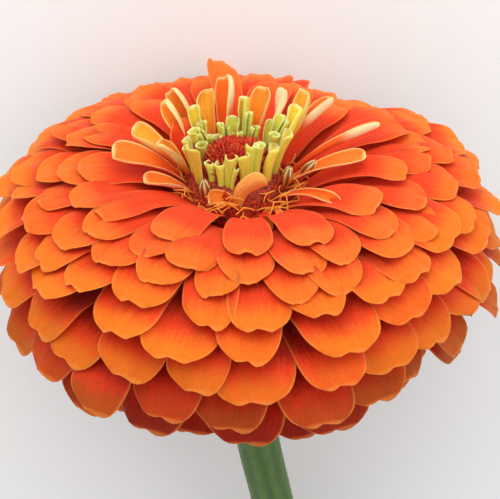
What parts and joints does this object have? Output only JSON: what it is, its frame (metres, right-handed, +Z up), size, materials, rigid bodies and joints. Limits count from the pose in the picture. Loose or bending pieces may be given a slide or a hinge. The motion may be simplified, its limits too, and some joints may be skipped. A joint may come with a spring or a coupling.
{
  "type": "zinnia flower",
  "caption": "Double zinnia bloom with layered orange ray petals round a ring of lime rolled florets and a red disc, on a cut green stem, lying on a surface.",
  "frame": {"origin": "the middle of the underside of the bounding box, on the surface that the flower lies on", "axes": "+Z up from the surface; +Y from the flower's face towards the cut end of its stem; +X to the left of the bloom as the picture shows it"},
  "size_m": [0.1066, 0.1542, 0.0963],
  "materials": {
    "ray_petals": "soft matte petal, orange at the tip and red at the root",
    "quill_florets": "satin, lime to yellow",
    "disc": "matte deep red",
    "bract_cup": "matte green with dark rims",
    "stem": "satin green"
  },
  "bodies": {
    "root": {"ray_petals": "ray_petals", "quill_florets": "quill_florets", "disc": "disc", "bract_cup": "bract_cup", "stem": "stem"}
  },
  "joints": []
}
